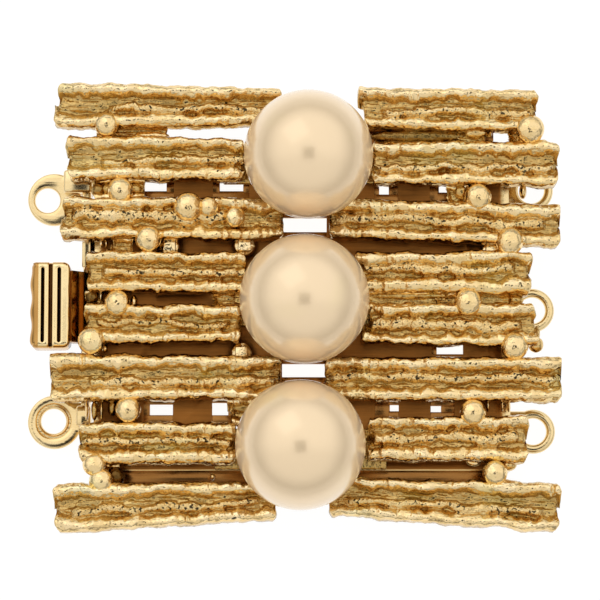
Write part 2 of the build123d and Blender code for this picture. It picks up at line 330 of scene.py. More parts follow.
def makePolishedGold():
    look = polishedGoldSettings
    material, tree, inputs, place = newMaterial("polishedGold")
    # painted light level stored on the piece's points, with a little cloud
    level = pieceValue(tree, "crest") + ripple(place, look["cloudScale"], 2) * look["cloud"]
    plug(shades(level, look["tones"]), inputs["Base Color"])
    varyRoughness(inputs, place, look["roughScale"], look["roughness"])
    addBump(inputs, ripple(place, look["bumpScale"], 2), look)
    return material


pearlSettings = {
    "hues": [(0.2, (1.0, 0.78, 0.515)), (0.7, (1.0, 0.80, 0.485))], "hueScale": 210,
    "roughness": (0.21, 0.27), "roughScale": 700, "metal": 0.32, "coat": 0.7, "coatRoughness": 0.05,
    "bump": 0.1, "bumpDepth": 0.006, "bumpScale": 2600,
}


def makePearlLustre():
    look = pearlSettings
    material, tree, inputs, place = newMaterial("pearlLustre", look["metal"])
    plug(shades(ripple(place, look["hueScale"], 2), look["hues"]), inputs["Base Color"])
    varyRoughness(inputs, place, look["roughScale"], look["roughness"])
    inputs["Coat Weight"].default_value = look["coat"]
    inputs["Coat Roughness"].default_value = look["coatRoughness"]
    addBump(inputs, ripple(place, look["bumpScale"], 2), look)
    return material


castGold = makeCastGold()
plateGold = makeSheetGold("plateGold", "plateTones", (0.12, 0.26), (2.62, 2.92))
ringGold = makeSheetGold("ringGold", "plateTones", (0.10, 0.20), None)
shadedRecessGold = makeSheetGold("shadedRecessGold", "recessShadeTones", (0.14, 0.30), None)
polishedGold = makePolishedGold()
pearlLustre = makePearlLustre()
print("materials made")


# Mesh helpers
def asPiece(mesh, name, material, body, slot, *nodes):
    mesh.name = name
    mesh.materials.clear()
    mesh.materials.append(material)
    piece = addObject(name, mesh)
    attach(piece, body)
    if nodes:
        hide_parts(*nodes)
    print("made", name, len(mesh.loops) - 2 * len(mesh.polygons), "triangles")
    return piece


def meshFrom(work, sharpAngle=None):
    bmesh.ops.recalc_face_normals(work, faces=work.faces)
    for face in work.faces:
        face.smooth = True
    mesh = bpy.data.meshes.new("work")
    work.to_mesh(mesh)
    work.free()
    if sharpAngle:
        mesh.set_sharp_from_angle(angle=math.radians(sharpAngle))
    return mesh


def addTone(mesh, name, tone):  # tone, a painted light and shade level, is a number, or a function of a vertex's place in millimetres
    values = mesh.attributes.new(name, "FLOAT", "POINT").data
    for vertex, value in zip(mesh.vertices, values):
        value.value = tone(vertex.co / mm) if callable(tone) else tone
    return mesh


def asCasting(work, name, tone):
    return asPiece(addTone(meshFrom(work), "crest", tone), name, castGold, "clasp", "cast_gold")


def lathe(work, centre, profile, segments):  # turns a profile of (radius, height) round an upright axis
    rings = []
    for radius, height in profile:
        ring = []
        for step in range(segments if radius else 1):
            angle = 2 * math.pi * step / segments
            corner = (centre[0] + radius * math.cos(angle), centre[1] + radius * math.sin(angle), height)
            ring.append(work.verts.new(Vector(corner) * mm))
        rings.append(ring)
    for low, high in zip(rings, rings[1:]):
        for step in range(segments):
            after = (step + 1) % segments
            corners = []
            for ring, spot in ((low, step), (low, after), (high, after), (high, step)):
                corner = ring[spot % len(ring)]  # a ring of one point closes the end
                if corner not in corners:
                    corners.append(corner)
            if len(corners) > 2:
                work.faces.new(corners)


def softened(work, edges, bevel, segments):
    once = list(dict.fromkeys(edges))  # each edge once, in a fixed order
    bmesh.ops.bevel(work, geom=once, offset=bevel * mm, segments=segments, profile=0.5,
                    affect="EDGES", clamp_overlap=True)


def bridge(work, first, second):  # faces between two closed rings of corners
    for step in range(len(first)):
        after = (step + 1) % len(first)
        work.faces.new((first[step], first[after], second[after], second[step]))


def roundedBox(work, low, high, bevel, segments=3):
    corners = bmesh.ops.create_cube(work, size=1)["verts"]
    for vert in corners:
        vert.co = Vector([(a + b) / 2 + c * (b - a) for a, b, c in zip(low, high, vert.co)]) * mm
    softened(work, (edge for vert in corners for edge in vert.link_edges), bevel, segments)


def slab(work, corners, half, bevel):  # a side view carried across the clasp
    near = [work.verts.new(Vector((x, -half, z)) * mm) for x, z in corners]
    far = [work.verts.new(Vector((x, half, z)) * mm) for x, z in corners]
    made = [work.faces.new(near), work.faces.new(far[::-1])]
    for step in range(len(corners)):
        after = (step + 1) % len(corners)
        made.append(work.faces.new((near[step], far[step], far[after], near[after])))
    softened(work, (edge for face in made for edge in face.edges), bevel, 2)


# Bark bars, made by one geometry tree from a row of values for each bar
barkSettings = {
    "base": 3.15, "height": 1.85, "width": 2.9, "halfLength": 16.0, "halfWidth": 14.1,
    "trough": 0.60, "troughWaves": (0.09, 0.07), "rimWidth": 0.37,
    "rimSway": 0.17, "ridgeSway": 0.32, "wobble": 0.12, "shiver": 0.03, "spread": 0.62,  # of rims and ridge
    "peak": 0.95, "heave": 0.13, "dents": 0.05, "cracks": (0.40, 0.8), "crackDepth": 0.16,
    "edgeWave": 0.22, "edgeRipple": 0.06, "swell": 0.03, "wander": 0.06,  # of the bar's two edges
    "endSteps": 5, "endLevel": 0.8, "endLength": 1.4, "ragged": 0.14, "rimReach": 0.30, "innerReach": 0.6,
    # trough and flank tones: painted shade levels for the troughs and lower flanks; end tone: one painted
    # light level for the ends
    "troughTone": 0.40, "flankTone": 0.42, "endTone": 0.5, "merge": 0.004,
    "lumps": 0.060, "knobs": 0.038, "fibres": 0.035, "grit": 0.030, "pits": 0.13, "pitRange": (0.62, 0.80),
    "barGrid": (190, 100), "webGrid": (60, 60), "webUnder": 0.30,  # grids: points along and around
    "barSeeds": (17.3, 4.1), "webSeeds": (9.7, 310),
}
barColumns = ("side outer inner outerPlace innerPlace outerBreadth innerBreadth "
              "topRidge midRidge lowRidge midFrom midTo midWidth midHeight skewOut skewIn").split()
barRows = [
    (-1, 0.969, 0.094, 0.893, 0.882, 1.02, 0.84, 0.74, -0.15, -0.68, 0.27, 1.00, 0.22, 0.88, -0.20, 0.0),
    (-1, 0.925, 0.238, 0.655, 0.650, 1.00, 0.96, 0.72, -0.14, -0.70, 0.22, 1.00, 0.20, 0.90, 0.10, 0.0),
    (-1, 0.944, 0.084, 0.385, 0.380, 0.97, 0.92, 0.75, 0.08, -0.69, 0.07, 0.72, 0.36, 0.92, -0.15, 0.0),
    (-1, 0.844, 0.231, 0.145, 0.140, 0.93, 0.90, 0.74, -0.02, -0.70, 0.12, 1.00, 0.24, 0.92, 0.05, 0.0),
    (-1, 0.852, 0.250, -0.085, -0.088, 0.90, 0.84, 0.66, 0.00, -0.68, 0.10, 0.90, 0.20, 0.80, 0.00, 0.0),
    (-1, 0.990, 0.095, -0.328, -0.325, 1.06, 0.97, 0.70, -0.18, -0.76, 0.20, 0.95, 0.24, 0.88, 0.20, 0.0),
    (-1, 0.870, 0.269, -0.615, -0.617, 0.95, 0.92, 0.71, 0.09, -0.62, 0.05, 0.95, 0.22, 0.90, 0.05, 0.0),
    (-1, 0.963, 0.113, -0.905, -0.866, 1.10, 0.84, 0.70, -0.15, -0.72, 0.10, 0.90, 0.22, 0.86, 0.10, 0.0),
    (1, 0.906, 0.228, 0.868, 0.878, 0.96, 0.90, 0.73, -0.11, -0.73, 0.05, 0.85, 0.24, 0.90, 0.05, 0.3),
    (1, 0.990, 0.269, 0.628, 0.634, 1.00, 0.97, 0.68, -0.22, -0.76, 0.05, 0.95, 0.22, 0.92, 0.05, 0.0),
    (1, 1.000, 0.100, 0.350, 0.385, 0.95, 0.90, 0.66, 0.05, -0.70, 0.10, 0.95, 0.30, 0.88, 0.10, 0.0),
    (1, 0.880, 0.217, 0.138, 0.142, 0.97, 0.92, 0.72, 0.13, -0.63, 0.12, 0.95, 0.26, 0.92, 0.05, 0.35),
    (1, 0.902, 0.242, -0.095, -0.092, 0.95, 0.88, 0.79, -0.02, -0.74, 0.12, 0.95, 0.36, 0.90, -0.20, -0.35),
    (1, 1.000, 0.082, -0.335, -0.330, 0.99, 0.96, 0.69, 0.04, -0.71, 0.05, 0.95, 0.24, 0.88, 0.10, 0.0),
    (1, 0.862, 0.250, -0.600, -0.597, 1.02, 0.94, 0.76, 0.02, -0.70, 0.08, 0.95, 0.28, 0.90, 0.05, 0.0),
    (1, 0.982, 0.100, -0.897, -0.852, 1.08, 0.84, 0.70, -0.15, -0.73, 0.10, 0.90, 0.24, 0.86, 0.15, 0.0),
]
barFields = ("outerX innerX outerY innerY outerHalf innerHalf topRidge midRidge lowRidge midFrom midTo "
             "midWidth midHeight skewOut skewIn height seed stations around").split()
# half of the section, from the middle of the underside up one flank: (turn, place across), (turn, height)
acrossPoints = [(0, 0.5), (0.04, 0.12), (0.055, 0.05), (0.085, 0.006), (0.105, 0.0), (0.125, 0.008),
                (0.14, 0.03)]
flankPoints = [(0, 0), (0.04, 0), (0.055, 0.05), (0.085, 0.36), (0.105, 0.66), (0.125, 0.88), (0.14, 1)]
# how a bar closes at its ends: (share of the end steps, share of its full section)
endPoints = [(0, 0), (0.2, 0.38), (0.4, 0.68), (0.6, 0.88), (0.8, 0.97), (1, 1)]
webRows = [  # number of the bar above, from x, to x, height
    (0, -11.9, -7.7, 1.10), (1, -12.2, -9.1, 1.15), (3, -12.6, -11.7, 1.05), (3, -4.7, -2.9, 1.00),
    (5, -3.6, -2.2, 1.15), (8, 10.7, 12.5, 1.15), (8, 13.9, 15.6, 1.10), (9, 10.0, 11.2, 1.00),
    (11, 4.9, 9.6, 1.30), (11, 9.2, 14.2, 1.05), (6, -11.9, -10.6, 1.00), (2, -11.0, -9.8, 0.95),
]


def makeBarkTree():
    look = barkSettings
    tree, given = newGeometryTree("barkBar", barFields)
    seed = given["seed"]
    last = given["stations"] - 1.0
    sizes = {"Size X": 1.0, "Size Y": 1.0, "Vertices X": given["stations"], "Vertices Y": given["around"]}
    grid = addNode(tree, "GeometryNodeMeshGrid", sizes)
    gridX, gridY = split(addNode(tree, "GeometryNodeInputPosition"))[:2]
    step = (gridX + 0.5) * last
    turn = gridY + 0.5
    shrink = throughPoints(calc(tree, "MINIMUM", step, last - step) * (1 / look["endSteps"]), endPoints)
    share = remap(step, 3.0, last - 3.0, 0.0, 1.0, "LINEAR")
    mirrored = [(1 - place, 1 - level) for place, level in reversed(acrossPoints)]
    across = throughPoints(turn, acrossPoints + mirrored) * 2 - 1
    mirrored = [(1 - place, level) for place, level in reversed(flankPoints)]
    flank = throughPoints(turn, flankPoints + mirrored)
    x = blend(share, given["outerX"], given["innerX"])
    length = sizeOf(given["innerX"] - given["outerX"])
    outward = calc(tree, "SIGN", given["outerX"] - given["innerX"])

    def along(scale, row):  # a wander along the bar, each from its own row of the noise
        return ripple(vectorOf(tree, x * scale, seed, row))

    def ridge(place, width, height, row, side):  # side is 1 or -1 for a rim, 0 for the middle ridge
        sway = look["rimSway"] if side else look["ridgeSway"]
        middle = place + along(0.33, row) * sway + along(1.2, row + 40.0) * look["wobble"]
        middle = middle + along(3.6, row + 50.0) * look["shiver"]
        offset = across - middle
        spread = width * (along(1.1, row + 80.0) * look["spread"] + 1)
        if side:
            away = highest(offset / (side * 1.03 - middle), offset * (-side) / spread)
        else:
            away = sizeOf(offset / spread)
        inside = highest(1 - calc(tree, "POWER", away, 2.0 if side else 2.5), 0.0)
        peak = along(0.75, row + 120.0) * look["heave"] + along(2.6, row + 140.0) * look["dents"]
        peak = peak + look["peak"]
        crack = remap(along(1.2, row + 160.0), *look["cracks"], 0.0, look["crackDepth"])
        return calc(tree, "POWER", inside, 0.8), height * peak - crack

    def edgeAway(side, row):  # how far an edge strays, most at the edge itself
        stray = along(0.6, row) * look["edgeWave"] + along(1.9, row + 30.0) * look["edgeRipple"]
        return stray * side * side

    broad, fine = look["troughWaves"]
    trough = ripple(vectorOf(tree, x * 0.5, across * 1.6, seed)) * broad + look["trough"]
    trough = trough + ripple(vectorOf(tree, x * 0.45, across * 5.0, seed + 30.0)) * fine
    top, topPeak = ridge(given["topRidge"], look["rimWidth"], 1.0, 3.0, 1)
    low, lowPeak = ridge(given["lowRidge"], look["rimWidth"], 0.98, 9.0, -1)
    mid, midPeak = ridge(given["midRidge"], given["midWidth"], given["midHeight"], 15.0, 0)
    mid = mid * remap(share, given["midFrom"] - 0.05, given["midFrom"], 0.0, 1.0)
    mid = mid * remap(share, given["midTo"], given["midTo"] + 0.05, 1.0, 0.0)
    mid = mid * remap(along(0.6, 77.0), -0.85, -0.40, 0.30, 1.0)
    crown = highest(trough, trough + (topPeak - trough) * top, trough + (lowPeak - trough) * low,
                    trough + (midPeak - trough) * mid)

    edge = edgeAway(highest(across, 0.0), 200.0) + edgeAway(highest(across * -1.0, 0.0), 260.0)
    halfBreadth = blend(share, given["outerHalf"], given["innerHalf"])
    halfBreadth = halfBreadth * (along(0.4, 60.0) * look["swell"] + 1) * shrink
    y = halfBreadth * across + blend(share, given["outerY"], given["innerY"])
    y = y + edge + along(0.33, 66.0) * look["wander"]
    level = look["endLevel"]
    z = (flank * crown * given["height"] - level) * shrink + (look["base"] + level)
    nearOuter = remap(share * length, 0.0, look["endLength"], 1.0, 0.0)
    nearInner = remap((1 - share) * length, 0.0, look["endLength"], 1.0, 0.0)
    torn = ripple(vectorOf(tree, y * 1.5, z * 1.5, calc(tree, "SIGN", share - 0.5) + seed), 1.0, 3)
    reach = torn * look["ragged"] + (highest(top, low, mid) - 0.6) * look["rimReach"] * shrink
    tilt = (nearOuter * given["skewOut"] - nearInner * given["skewIn"]) * across
    x = x + (tilt + reach * nearOuter - reach * nearInner * look["innerReach"]) * outward

    # painted light: crests painted bright as highlight, troughs and lower flanks painted darker as shade
    crest = remap(crown, look["trough"] - 0.05, 0.98, look["troughTone"], 1.0, "LINEAR")
    crest = crest * remap(flank, 0.3, 1.0, look["flankTone"], 1.0)
    crest = blend(calc(tree, "POWER", shrink, 6.0), look["endTone"], crest)  # the ends keep one painted light level
    grit = mid * remap(along(0.7, 310.0), -0.6, 0.1, 0.35, 1.0)
    kept = keepValue(keepValue(grid, "crest", crest), "grit", grit)
    spots = {"Geometry": kept, "Position": vectorOf(tree, x, y, z)}
    shaped = addNode(tree, "GeometryNodeSetPosition", spots)
    merged = addNode(tree, "GeometryNodeMergeByDistance", {"Geometry": shaped, "Distance": look["merge"]})

    # lumps, knobs, fibres along the bar, grit on the middle ridge, and pits
    start = vectorOf(tree, seed * 3.7, seed, 0.0)
    place = addNode(tree, "ShaderNodeVectorMath", {0: addNode(tree, "GeometryNodeInputPosition"), 1: start},
                    operation="ADD")
    amount = ripple(place, 1.3) * look["lumps"] + ripple(place, 3.4) * look["knobs"]
    fibres = ripple(stretch(place, (0.7, 4.6, 4.6))) * look["fibres"]
    amount = amount + fibres * (1.2 - storedValue(tree, "crest"))
    amount = amount + ripple(place, 8.0) * look["grit"] * storedValue(tree, "grit")
    amount = amount - remap(ripple(place, 2.1, 1), *look["pitRange"], 0.0, look["pits"])
    rough = pushOut(merged, amount * outward * -1.0)
    finishTree(addNode(tree, "GeometryNodeTransform", {"Geometry": rough, "Scale": (mm, mm, mm)}), castGold)
    return tree


pearlSizes = {"level": 7.35, "radius": 4.0, "seat": 4.08, "drilled": 6.6, "hole": 0.5}
pearlPlaces = [(column + 0.25, 9.0), (column, 0.0), (column - 0.25, -9.0)]
castLow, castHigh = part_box("bark_casting")


def fitBars(mesh):  # keeps bark out of the pearls' seats and inside the casting's own reach
    places = np.empty(len(mesh.vertices) * 3, dtype=np.float32)
    mesh.vertices.foreach_get("co", places)
    places = places.reshape(-1, 3)
    seat = (pearlSizes["seat"] * mm) ** 2
    for x, y in pearlPlaces:
        away = (places[:, 0] - x * mm) ** 2 + (places[:, 1] - y * mm) ** 2
        limit = pearlSizes["level"] * mm - np.sqrt(np.maximum(seat - away, 0))
        places[:, 2] = np.minimum(places[:, 2], np.where(away < seat, limit, 1.0))
    for axis in range(2):
        room = 0.01 * mm
        places[:, axis] = np.clip(places[:, axis], castLow[axis] + room, castHigh[axis] - room)
    mesh.vertices.foreach_set("co", places.ravel())
    mesh.update()


def makeBars():
    look = barkSettings
    tree = makeBarkTree()
    bars = [dict(zip(barColumns, row)) for row in barRows]
    for number, bar in enumerate(bars):
        for end in ("outer", "inner"):
            bar[end + "X"] = column + bar["side"] * bar[end] * look["halfLength"]
            bar[end + "Y"] = bar[end + "Place"] * look["halfWidth"]
            bar[end + "Half"] = bar[end + "Breadth"] * look["width"] / 2
        bar["height"] = look["height"]
        bar["stations"], bar["around"] = look["barGrid"]
        bar["seed"] = look["barSeeds"][0] * number + look["barSeeds"][1]

    def edgeAt(bar, x, side):  # y of a bar's upper or lower edge
        share = (x - bar["outerX"]) / (bar["innerX"] - bar["outerX"])
        middle = bar["outerY"] + (bar["innerY"] - bar["outerY"]) * share
        return middle + side * (bar["outerHalf"] + (bar["innerHalf"] - bar["outerHalf"]) * share)

    webs = []
    for number, (above, low, high, height) in enumerate(webRows):
        web = dict(bars[above], outerX=low, innerX=high, height=height, midFrom=0, midTo=0)
        web["seed"] = look["webSeeds"][0] * number + look["webSeeds"][1]
        web["stations"], web["around"] = look["webGrid"]
        for end, x in (("outer", low), ("inner", high)):
            top, bottom = edgeAt(bars[above], x, -1), edgeAt(bars[above + 1], x, 1)
            web[end + "Y"] = (top + bottom) / 2
            web[end + "Half"] = max((top - bottom) / 2, 0) + look["webUnder"]
        webs.append(web)
    groups = {"barkLeftUpper": bars[0:4], "barkLeftLower": bars[4:8], "barkRightUpper": bars[8:12],
              "barkRightLower": bars[12:16], "barkWebs": webs}
    for name, rows in groups.items():
        work = bmesh.new()
        for row in rows:
            work.from_mesh(grow(tree, bpy.data.meshes.new("work"), row))
        mesh = meshFrom(work)
        fitBars(mesh)
        asPiece(mesh, name, castGold, "clasp", "cast_gold")
    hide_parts("bark_casting")


makeBars()


# Cast balls and the lumps of metal that bridge the gaps between bars, one geometry tree for both
ballSettings = {
    # tone: painted light level of the balls, lit like the crests; neck tone: painted shade on the necks under
    # them
    "diameter": 1.35, "flatness": 0.8, "tone": 0.9, "lumpLevel": 3.75, "lumpRise": 0.50,
    "neck": 0.60, "neckFrom": 3.35, "neckTop": 0.25, "neckTaper": 0.85, "neckTone": 0.35,
    "onBalls": {"roughness": 0.010 * mm, "unevenness": 0.0, "fineness": 5},
    "onLumps": {"roughness": 0.02 * mm, "unevenness": 0.06 * mm, "fineness": 4},
}
ballColumns = "along across size up".split()
ballRows = [  # along and across as shares of the half length and half width, up as a share of a bar's height
    (-0.777, 0.803, 1.12, 0.76), (-0.721, 0.508, 1.20, 0.76), (-0.610, 0.290, 1.22, 0.80),
    (-0.730, 0.003, 1.20, 0.80), (-0.829, -0.163, 1.28, 0.78), (-0.685, -0.470, 1.20, 0.78),
    (-0.814, -0.710, 1.10, 0.78), (-0.788, -0.782, 1.12, 0.72), (-0.454, 0.432, 1.38, 0.84),
    (-0.374, 0.432, 0.95, 0.84), (-0.271, 0.387, 0.95, 0.78), (0.884, 0.782, 1.34, 0.80),
    (0.679, 0.476, 1.25, 0.80), (0.801, 0.280, 1.30, 0.80), (0.637, 0.007, 1.28, 0.80),
    (0.817, -0.188, 1.28, 0.78), (0.654, -0.482, 1.22, 0.80), (0.738, -0.748, 1.15, 0.78),
]
lumpColumns = "x y halfX halfY tone".split()
# tone: painted light level of each lump, low where it lies in shade between the bars
lumpRows = [
    (-11.56, 10.89, 0.56, 0.50, 0.75), (-8.68, 10.70, 1.19, 0.31, 0.90), (-10.69, 10.52, 1.38, 0.25, 0.70),
    (11.77, 10.95, 0.81, 0.50, 0.70), (15.15, 10.64, 0.75, 0.44, 0.80), (8.08, 10.70, 3.00, 0.50, 0.24),
    (-11.31, 7.33, 0.50, 0.38, 0.45), (-9.69, 7.33, 0.50, 0.38, 0.50), (-12.00, 7.26, 0.44, 0.44, 0.30),
    (-11.75, 3.89, 0.09, 0.31, 1.00), (-11.44, 3.89, 0.09, 0.31, 1.00), (-11.75, 0.51, 0.12, 0.44, 0.95),
    (-9.69, 0.13, 0.25, 0.56, 0.90), (-12.31, 0.51, 0.44, 0.44, 0.15), (-11.47, -2.75, 0.22, 0.25, 0.90),
    (-12.59, -6.62, 0.16, 0.62, 0.95), (-12.12, -6.62, 0.22, 0.62, 0.50), (-11.66, -6.62, 0.11, 0.62, 0.95),
    (-11.00, -6.44, 0.31, 0.50, 0.35), (-2.74, -6.44, 0.88, 0.38, 0.30), (-10.75, -10.69, 0.56, 0.56, 0.08),
    (-4.74, -10.75, 0.19, 0.22, 0.90), (10.83, 7.20, 0.50, 0.56, 0.50), (11.83, 7.39, 0.56, 0.44, 0.60),
    (14.71, 7.20, 0.22, 0.50, 0.80), (7.58, 0.57, 3.00, 0.25, 0.50), (14.21, 0.32, 0.50, 0.38, 0.50),
    (15.46, -2.50, 0.50, 0.50, 0.70), (12.40, -6.25, 0.12, 0.44, 0.95), (13.30, -6.25, 0.11, 0.44, 0.95),
    (13.71, -6.25, 0.11, 0.44, 0.90), (13.65, -10.00, 0.56, 0.38, 0.70),
]


def inField(along, across):
    return column + barkSettings["halfLength"] * along, barkSettings["halfWidth"] * across


def makeBallTree():
    tree, given = newGeometryTree("castBalls", ["roughness", "unevenness", "fineness"])
    ball = addNode(tree, "GeometryNodeMeshIcoSphere", {"Radius": 1.0, "Subdivisions": given["fineness"]})
    halves = storedValue(tree, "halves", "FLOAT_VECTOR")
    spots = {"Points": given["Geometry"], "Instance": ball, "Scale": halves}
    placed = addNode(tree, "GeometryNodeInstanceOnPoints", spots)
    real = addNode(tree, "GeometryNodeRealizeInstances", {0: placed})
    place = addNode(tree, "GeometryNodeInputPosition")
    amount = ripple(place, 2300.0) * given["roughness"] + ripple(place, 900.0) * given["unevenness"]
    finishTree(pushOut(real, amount), castGold)
    return tree


def makeBalls():
    look = ballSettings
    tree = makeBallTree()
    balls = [dict(zip(ballColumns, row)) for row in ballRows]
    lumps = [dict(zip(lumpColumns, row)) for row in lumpRows]
    for ball in balls:
        level = barkSettings["base"] + barkSettings["height"] * ball["up"]
        ball["place"] = Vector((*inField(ball["along"], ball["across"]), level))
        ball["halves"] = Vector((1, 1, look["flatness"])) * look["diameter"] / 2 * ball["size"]
        ball["tone"] = look["tone"]
    for lump in lumps:
        lump["place"] = Vector((lump["x"], lump["y"], look["lumpLevel"]))
        lump["halves"] = Vector((lump["halfX"], lump["halfY"], look["lumpRise"]))
    for name, rows, surface in (("castBalls", balls, look["onBalls"]), ("castLumps", lumps, look["onLumps"])):
        points = bpy.data.meshes.new("work")
        points.from_pydata([row["place"] * mm for row in rows], [], [])
        points.attributes.new("halves", "FLOAT_VECTOR", "POINT")
        points.attributes.new("crest", "FLOAT", "POINT")
        halves, tones = points.attributes["halves"].data, points.attributes["crest"].data
        for number, row in enumerate(rows):
            halves[number].vector = row["halves"] * mm
            tones[number].value = row["tone"]
        asPiece(grow(tree, points, surface), name, castGold, "clasp", "cast_gold")
    work = bmesh.new()
    for ball in balls:
        neck, foot, top = look["neck"], look["neckFrom"], ball["place"].z
        profile = [(0, foot), (neck, foot), (neck, top - look["neckTop"]),
                   (neck * look["neckTaper"], top), (0, top)]
        lathe(work, ball["place"], profile, 24)
    asCasting(work, "ballNecks", look["neckTone"])


postSettings = {
    "half": 0.42, "from": 2.6, "to": 4.1, "bevel": 0.12, "web": 0.68, "webFrom": 3.4, "webTaper": 0.85,
    # top tone and side tone: painted highlight on top, painted shade on the sides
    "webDrops": (0.35, 0.2, 0.15), "topTone": 0.95, "sideTone": 0.3,
}
postRows = [  # shares of the half length and half width
    (-0.530, 0.265), (-0.235, 0.268), (-0.245, -0.212), (0.660, -0.667),
    (0.735, 0.240), (-0.690, 0.660), (-0.690, -0.650), (0.600, 0.640),
]


def makePosts():
    look = postSettings
    work = bmesh.new()
    half, web, top = look["half"], look["web"], look["to"]
    side, brim, crown = [top - drop for drop in look["webDrops"]]
    profile = [(0, look["webFrom"]), (web, look["webFrom"]), (web, side), (web * look["webTaper"], brim),
               (0, crown)]
    places = [inField(*row) for row in postRows]
    for place in places:
        lathe(work, place, profile, 28)
    for x, y in places:  # after a bevel the order of newly made corners isn't fixed, so boxes come last
        roundedBox(work, (x - half, y - half, look["from"]), (x + half, y + half, top), look["bevel"])

    def tone(place):  # painted light: tops painted bright, sides painted in shade
        return look["topTone"] if place.z > look["to"] - 0.3 else look["sideTone"]

    asCasting(work, "castPosts", tone)


makeBalls()
makePosts()


# Pearls in their cups
cupSettings = {
    "base": 3.05, "radius": 2.3, "armReach": 5.4, "armHalf": 1.3, "armTop": 3.55, "armBevel": 0.16,
    # tone: painted shade, a low painted light level for the cups under the pearls
    "peg": 0.45, "pegFrom": 3.25, "pegTop": 6.5, "tone": 0.35, "bowlIn": 0.12,
    "rim": ((0.05, 0.03), (0, -0.04)), "wall": ((0, 0.5), (0.25, 0.12), (0.4, 0)),  # in from the radius, up
}


def makeCups():
    look = cupSettings
    work = bmesh.new()
    base, radius, peg, tip = look["base"], look["radius"], look["peg"], look["pegTop"]
    seat, level = pearlSizes["seat"], pearlSizes["level"]
    bowl = []
    for step in range(13):
        away = (radius - look["bowlIn"]) * step / 12
        bowl.append((away, level - math.sqrt(seat ** 2 - away ** 2)))
    for height, points in ((bowl[-1][1], look["rim"]), (base, look["wall"])):
        bowl += [(radius - inset, height + rise) for inset, rise in points]
    bowl.append((0, base))
    foot, reach, half = look["pegFrom"], look["armReach"], look["armHalf"]
    pegOutline = [(0, foot), (peg, foot), (peg, tip - 0.15), (peg - 0.08, tip), (0, tip)]
    for place in pearlPlaces:
        lathe(work, place, bowl, 72)
        lathe(work, place, pegOutline, 24)
    for x, y in pearlPlaces:
        low, high = (x - reach, y - half, base), (x + reach, y + half, look["armTop"])
        roundedBox(work, low, high, look["armBevel"])
    asCasting(work, "pearlCups", look["tone"])


def makePearls():
    level, full = pearlSizes["level"], pearlSizes["radius"]
    hole, depth = pearlSizes["hole"], pearlSizes["drilled"]
    start = math.asin((hole + 0.04) / full)
    steps = 96
    for number, place in enumerate(pearlPlaces, 1):
        work = bmesh.new()
        profile = [(0, depth), (hole, depth), (hole, level - full * math.cos(start) + 0.05)]
        for step in range(steps + 1):
            angle = start + (math.pi - start) * step / steps
            profile.append((full * math.sin(angle) if step < steps else 0, level - full * math.cos(angle)))
        lathe(work, place, profile, 144)
        node = "pearl_" + str(number)
        asPiece(meshFrom(work), "pearlShell" + str(number), pearlLustre, "clasp", "pearl", node)


makeCups()
makePearls()


# Strand rings: flat loops that run out into a tab, those on the right rounded like wire
ringColumns = "x y hole outer shiftX shiftY tabLow tabHigh groove".split()
ringGroups = {  # caps: low x, low y, high x, high y
    "tongueRings": {"body": "tongue", "end": -12.7, "low": 0.5, "high": 1.0, "rounding": 0.13, "collar": 0.13,
                    "caps": [(-14.25, 7.28, -12.42, 8.75), (-13.35, -7.5, -12.42, -6.2)],
                    "capTop": 2.78, "capBevel": 0.2,
                    "rows": [(-15.375, 7.05, 0.78, 1.68, 0.42, 0.05, 0.36, 1.62, 0.0),
                             (-15.125, 0.0, 0.75, 1.22, 0.0, 0.0, -0.60, 0.60, 0.0),
                             (-14.875, -7.05, 0.78, 1.70, 0.06, -0.06, -0.70, 1.20, 0.22)]},
    "fixedRings": {"body": "clasp", "end": 13.7, "low": 0.5, "high": 1.0, "rounding": 0.25, "collar": 0.2,
                   "caps": [],
                   "rows": [(15.425, y, 0.825, 1.4, 0.0, 0.0, -1.3, 1.3, 0.0) for y in (7.7, 0.0, -7.7)]},
}


def reachAt(ring, end, angle):  # how far the loop and its tab reach from the middle of the hole
    dx, dy = math.cos(angle), math.sin(angle)
    toward = dx * ring["shiftX"] + dy * ring["shiftY"]
    rest = toward ** 2 - ring["shiftX"] ** 2 - ring["shiftY"] ** 2 + ring["outer"] ** 2
    roundReach = toward + math.sqrt(rest)
    if dx * end <= 0:
        return roundReach
    side = ring["tabHigh"] if dy > 0 else ring["tabLow"]
    reach = min(end / dx, side / dy if side * dy > 0 else 0 if side * dy < 0 else end / dx)
    near = ring["tabLow"] if dy > 0 else ring["tabHigh"]
    entry = near / dy if near * dy > 0 else 0
    return max(roundReach, reach) if entry <= roundReach else roundReach


def ringProfile(ring, group):  # (whether from the outer edge or the hole's, distance, height)
    middle, thick = (group["low"] + group["high"]) / 2, (group["high"] - group["low"]) / 2
    profile = []
    for step in range(11):
        angle = math.pi * (step / 10 - 0.5)
        profile.append((True, group["rounding"] * (1 - math.cos(angle)), middle + thick * math.sin(angle)))
    if ring["groove"]:
        face, dish = group["high"], group["high"] - ring["groove"]
        profile += [(False, 0.44, face), (False, 0.36, face - 0.04), (False, 0.30, dish), (False, 0.20, dish),
                    (False, 0.16, face - 0.06)]
    for step in range(11):
        angle = math.pi * (0.5 - step / 10)
        profile.append((False, group["collar"] * (1 - math.cos(angle)), middle + thick * math.sin(angle)))
    return profile


